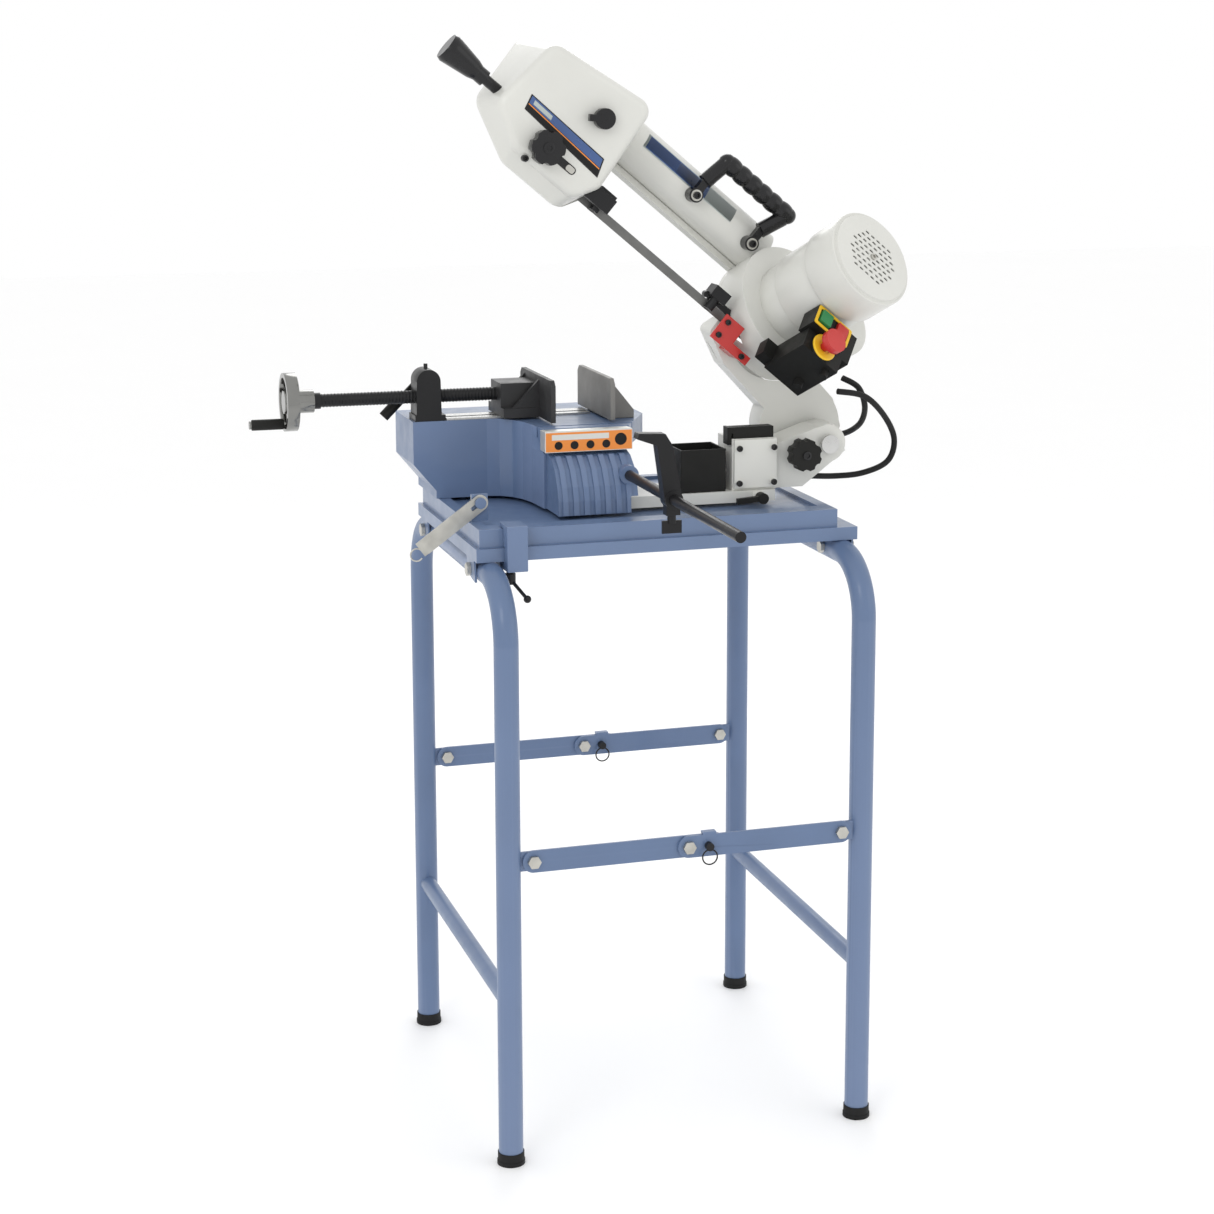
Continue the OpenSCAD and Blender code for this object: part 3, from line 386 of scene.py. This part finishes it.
def part_of(quad, low, high):
    """The part of a four-cornered patch between two (across, down) pairs, each from 0 to 1."""
    a, b, c, d = (Vector(corner) for corner in quad)

    def at(across, down):
        return a.lerp(b, across).lerp(d.lerp(c, across), down)

    return [at(low[0], low[1]), at(high[0], low[1]), at(high[0], high[1]), at(low[0], high[1])]


def sweep(work, points, radius, sides=16):
    """A round tube along points, with no twist."""
    side = None
    rings = []
    for k, point in enumerate(points):
        along = (points[min(k + 1, len(points) - 1)] - points[max(k - 1, 0)]).normalized()
        side = side or Vector((0.3, 0.2, 1))
        side = (side - along * along.dot(side)).normalized()
        other = along.cross(side)
        rings.append([work.verts.new(point + radius * (math.cos(a) * side + math.sin(a) * other))
                      for a in (2 * math.pi * i / sides for i in range(sides))])
    loft(work, rings)


def flowing(points, steps):
    """A smooth line through the points."""
    out = []
    for k in range(len(points) - 1):
        a, b, c, d = (points[max(k - 1, 0)], points[k], points[k + 1], points[min(k + 2, len(points) - 1)])
        for step in range(steps):
            t = step / steps
            out.append(0.5 * (2 * b + (c - a) * t + (2 * a - 5 * b + 4 * c - d) * t * t
                              + (3 * b - a - 3 * c + d) * t ** 3))
    out.append(points[-1])
    return out


# Head cover: outline in X and Z of the bow, anticlockwise from the blade's side
HEAD = [(-506, 62), (-517, 218), (-704, 192), (-720, 60), (-640, 12), (-536, 12)]
HEAD_DRAFT = [4, 5, 9, 13, 20, 8]
HEAD_FRONT = 205
HEAD_ROUND = 13


def head_cover():
    """The cast cover of the idler end, drawn in towards its front, with a soft edge round the front face."""
    work = bmesh.new()
    tilt = BAND_TILT

    def back(z):
        return 245 + (14 + (z - 48) * math.sin(tilt)) / math.cos(tilt)

    rings = [[(x, back(z), z) for x, z in rounded(HEAD, 24)]]
    for k in range(9):
        turn = math.pi / 2 * k / 8
        depths = [d + HEAD_ROUND * (1 - math.cos(turn)) for d in HEAD_DRAFT]
        y = HEAD_FRONT + HEAD_ROUND * (1 - math.sin(turn))
        rings.append([(x, y, z) for x, z in rounded(inset(HEAD, depths), 22 - 8 * k / 8)])
    loft(work, [[work.verts.new(BOW @ mm(*point)) for point in ring] for ring in rings])
    cover = add("head_cover", work, CREAM, "head_housing")
    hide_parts("head_housing")

    # Painted shade: a thin black sheet on the front face stands in for the dark inside of the slot, which is
    # not cut into the cover.
    slot_shade = bmesh.new()
    plate(slot_shade, BOW, rounded([(-620, 57), (-556, 57), (-556, 69), (-620, 69)], 5.9),
          HEAD_FRONT, HEAD_FRONT - 0.5)
    add("head_slot_shade", slot_shade, GLOSS_BLACK, "head_housing")
    shelf = bmesh.new()
    plate(shelf, BOW, rounded([(-572, 58.5), (-558, 58.5), (-558, 67.5), (-572, 67.5)], 3.5),
          HEAD_FRONT - 0.5, HEAD_FRONT - 0.8)
    add("head_slot_end", shelf, ZINC, "head_housing")
    screws("head_screw", "head_housing", BOW, [(-626, HEAD_FRONT + 6, 33)], FACING, 5, 9)


def head_label():
    """A plain name plate: a blue band, an orange line and a grey band, with no words."""
    corners = [(-676, 109), (-535, 106), (-526, 79), (-671, 86)]
    bands = (("label_edge", (0, 0), (1, 1), GLOSS_BLACK, 0.5),
             ("label_band", (0.015, 0.06), (0.985, 0.52), LABEL_BLUE, 0.7),
             ("label_line", (0.015, 0.55), (0.985, 0.61), ORANGE, 0.7),
             ("label_foot", (0.015, 0.64), (0.985, 0.94), RUBBER, 0.7),
             ("label_blank", (0.06, 0.16), (0.30, 0.42), LABEL_GREY, 0.9))
    for name, low, high, material, rise in bands:
        work = bmesh.new()
        plate(work, BOW, part_of(corners, low, high), HEAD_FRONT, HEAD_FRONT - rise)
        add(name, work, material, "head_housing")


def backbone_strip():
    """A curved plate on the backbone tube."""
    radius, tube_z, middle, half = 37, 154, math.radians(192), math.radians(20)
    for name, x1, x2, low, high, rise, material in (
            ("strip_plate", -476, -297, -1, 1, 0.4, LABEL_GREY),
            ("strip_band", -472, -352, -0.86, 0.86, 0.6, LABEL_BLUE)):
        work = bmesh.new()
        for k in range(12):
            angles = [middle + half * (low + (high - low) * (k + i) / 12) for i in (0, 1)]
            loft(work, [[work.verts.new(WHEELS @ mm(x, reach * math.cos(a), tube_z + reach * math.sin(a)))
                         for a, reach in ((angles[0], radius), (angles[1], radius), (angles[1], radius + rise),
                                          (angles[0], radius + rise))] for x in (x1, x2)])
        bmesh.ops.remove_doubles(work, verts=work.verts, dist=0.000001)
        add(name, work, material, "bow_frame")


def bar_label():
    """The orange front of the support bar, with a white blank and dark rings."""
    front = 194
    work = bmesh.new()
    plate(work, FRONT, [(111, 991), (241, 991), (241, 1019), (111, 1019)], front, front - 0.4)
    add("bar_label", work, ORANGE, "support_bar")
    work = bmesh.new()
    plate(work, FRONT, [(120, 1008), (206, 1008), (206, 1016), (120, 1016)], front, front - 0.6)
    add("bar_blank", work, CREAM, "support_bar")
    work = bmesh.new()
    for k in range(4):
        lathe(work, FRONT, (130 + 24 * k, front - 0.3, 1000), FACING,
              [(6, 0), (6, 0.4), (4.6, 0.4), (4.6, 0.2)])
    lathe(work, FRONT, (224, front - 0.3, 1006), FACING, [(9, 0), (9, 0.4), (7.2, 0.4), (7.2, 0.2)])
    add("bar_rings", work, RUBBER, "support_bar")


def screw_thread():
    """The coarse thread of the lead screw."""
    radius, pitch, segments, start, end = 9.5, 5.0, 24, -184.0, 120.0
    screw_y, screw_z = 365, 1056
    work = bmesh.new()
    rings = []
    count = int((end - start) / pitch * 5)
    for row in range(count + 1):
        along = start + (end - start) * row / count
        ring = []
        for k in range(segments):
            angle = 2 * math.pi * k / segments
            phase = (along / pitch + k / segments) % 1
            reach = radius - 0.7 + 1.5 * (1 - abs(2 * phase - 1))
            ring.append(work.verts.new(FRONT @ mm(along, screw_y + reach * math.cos(angle),
                                                  screw_z + reach * math.sin(angle))))
        rings.append(ring)
    loft(work, rings)
    add("screw_thread", work, BLACK_METAL, "lead_screw")


def handle_grip():
    """The moulded grip, with its finger swells, and the two screws of the carry handle."""
    left, right, y, z = -362, -236, 290, 236
    length = right - left
    bulges, steps = 6, 10
    profile = [(9, -2)]
    for k in range(bulges * steps + 1):
        profile.append((12.4 + 2.2 * abs(math.sin(math.pi * k / steps)) ** 0.7, length * k / (bulges * steps)))
    profile.append((9, length + 2))
    work = bmesh.new()
    lathe(work, BOW, (left, y, z), (1, 0, 0), profile)
    add("handle_sleeve", work, GLOSS_BLACK, "carry_handle")
    feet = [(-371, y - 10, 167), (-256, y - 10, 167)]
    work = bmesh.new()
    for place in feet:
        lathe(work, BOW, place, FACING, [(8.5, 0), (8.5, 1.2), (6, 1.4), (6, 0.5)])
    add("handle_washers", work, ZINC, "carry_handle")
    screws("handle_screws", "carry_handle", BOW, [(x, y1 - 0.6, z1) for x, y1, z1 in feet], FACING, 5.5, 6)


def small_hardware():
    screws("cover_screws", "column_cover", FRONT, [(x, 171.7, z) for x in (400, 454) for z in (934, 986)],
           FACING, 4.6, 3.2)
    screws("feed_knob_screw", "feed_knob", FRONT, [(498, 150.2, 974)], FACING, 6.5, 3)
    screws("arm_knob_cap", "arm_knob", BOW, [(-614, 180.2, 63)], FACING, 8, 2.2)
    screws("guard_screws", "blade_guard", BOW, [(-231, 218, 45), (-231, 218, 22), (-182, 218, 19)],
           FACING, 4.4, 4)
    screws("fan_screw", "fan_cover", WHEELS, [(-150, -216.8, 77)], FACING, 5, 3, ZINC)
    work = bmesh.new()
    lathe(work, WHEELS, (-130, -136, -50), FACING, [(20.5, 0), (20.5, 2.2), (19.5, 3), (11, 3), (11, 1)])
    add("estop_collar", work, YELLOW, "switch_box")
    work = bmesh.new()
    outer = rounded([(-165.5, -31.5), (-100.5, -31.5), (-100.5, 3.5), (-165.5, 3.5)], 3)
    inner = rounded([(-161, -27), (-105, -27), (-105, -1), (-161, -1)], 2)
    rings = [[work.verts.new(WHEELS @ mm(x, y, z)) for x, z in line]
             for line, y in ((outer, -145.5), (outer, -147.5), (inner, -147.5), (inner, -145.5))]
    loft(work, rings)
    for face in [f for f in work.faces if len(f.verts) > 4]:
        work.faces.remove(face)
    for k in range(len(outer)):
        following = (k + 1) % len(outer)
        work.faces.new((rings[0][following], rings[0][k], rings[3][k], rings[3][following]))
    add("switch_frame", work, YELLOW, "switch_box")
    work = bmesh.new()
    turns, steps = 7, 24
    points = [mm(498 + 9 * math.cos(2 * math.pi * k / steps), 173 + 30 * k / (turns * steps),
                 974 + 9 * math.sin(2 * math.pi * k / steps)) + DATUM for k in range(turns * steps + 1)]
    sweep(work, points, 1.3 * MM, 8)
    add("feed_spring", work, STEEL, "column")


# ---------------------------------------------------------------- leads
LEAD_D = 0.009
MOTOR_LEAD = [(560, 170, 1085), (585, 168, 1070), (603, 185, 1040), (611, 215, 1012), (612, 255, 992),
              (606, 290, 980), (594, 316, 976), (581, 321, 977), (573, 314, 979), (571, 304.3, 980)]
SWITCH_LEAD = [(545, 150, 1068), (590, 155, 1058), (630, 175, 1025), (656, 195, 985), (650, 205, 950),
               (615, 216, 932), (572, 228, 927), (524.3, 230, 930)]


def lead(name, route, node):
    """A smooth lead along its route; both ends go into the machine."""
    path = flowing([DATUM + mm(*point) for point in route], 12)
    work = bmesh.new()
    sweep(work, path, LEAD_D / 2)
    piece = make(name, work, RUBBER)
    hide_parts(node)
    if node == "motor_lead":
        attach(piece, "bow")
    else:
        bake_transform(piece, "bow", "swivel", start=path[0], end=path[-1])


head_cover()
head_label()
backbone_strip()
bar_label()
screw_thread()
handle_grip()
small_hardware()
lead("motor_lead_smooth", MOTOR_LEAD, "motor_lead")
lead("switch_lead_smooth", SWITCH_LEAD, "switch_lead")


# ---------------------------------------------------------------- studio
def area_light(name, place, target, size, power, colour=(1, 1, 1)):
    data = bpy.data.lights.new(name, "AREA")
    data.shape = "DISK"
    data.size = size
    data.energy = power
    data.color = colour
    light = bpy.data.objects.new(name, data)
    bpy.context.scene.collection.objects.link(light)
    light.location = place
    light.rotation_euler = (Vector(target) - Vector(place)).to_track_quat("-Z", "Y").to_euler()


def studio():
    floor_mesh = bpy.data.meshes.new("floor")
    half = 14.0
    corners = [(-half, -half, 0), (half, -half, 0), (half, half, 0), (-half, half, 0)]
    floor_mesh.from_pydata(corners, [], [(0, 1, 2, 3)])
    floor = bpy.data.objects.new("floor", floor_mesh)
    bpy.context.scene.collection.objects.link(floor)
    floor_mesh.materials.append(surface("floor_pale", (0.99, 0.99, 0.99), 0.85, vary=0.002, patch=1, grain=60,
                                        bump=0.01))
    world = bpy.data.worlds.new("studio")
    bpy.context.scene.world = world
    world.use_nodes = True
    background = world.node_tree.nodes["Background"]
    background.inputs["Color"].default_value = (1, 1, 1, 1)
    background.inputs["Strength"].default_value = 1.0
    bpy.context.scene.view_settings.view_transform = "Standard"
    middle = (0, 0, 1.1)
    area_light("key", (-2.6, -2.8, 3.4), middle, 1.8, 26)
    area_light("fill", (3.0, -2.2, 2.0), middle, 2.4, 8)
    area_light("rim", (0.8, 3.0, 3.0), middle, 2.0, 25)


def camera():
    data = bpy.data.cameras.new("camera")
    data.sensor_width = 36
    data.lens = 73.0
    data.shift_x = -0.03
    data.shift_y = -0.1
    data.clip_end = 60
    obj = bpy.data.objects.new("camera", data)
    bpy.context.scene.collection.objects.link(obj)
    azimuth, elevation = math.radians(-17.415), math.radians(10.15)
    back = Vector((math.sin(azimuth) * math.cos(elevation), -math.cos(azimuth) * math.cos(elevation),
                   math.sin(elevation)))
    obj.location = DATUM + mm(-804.9, -3196.8, 1570.9)
    obj.rotation_mode = "QUATERNION"
    obj.rotation_quaternion = (-back).to_track_quat("-Z", "Y")
    bpy.context.scene.camera = obj


camera()
studio()
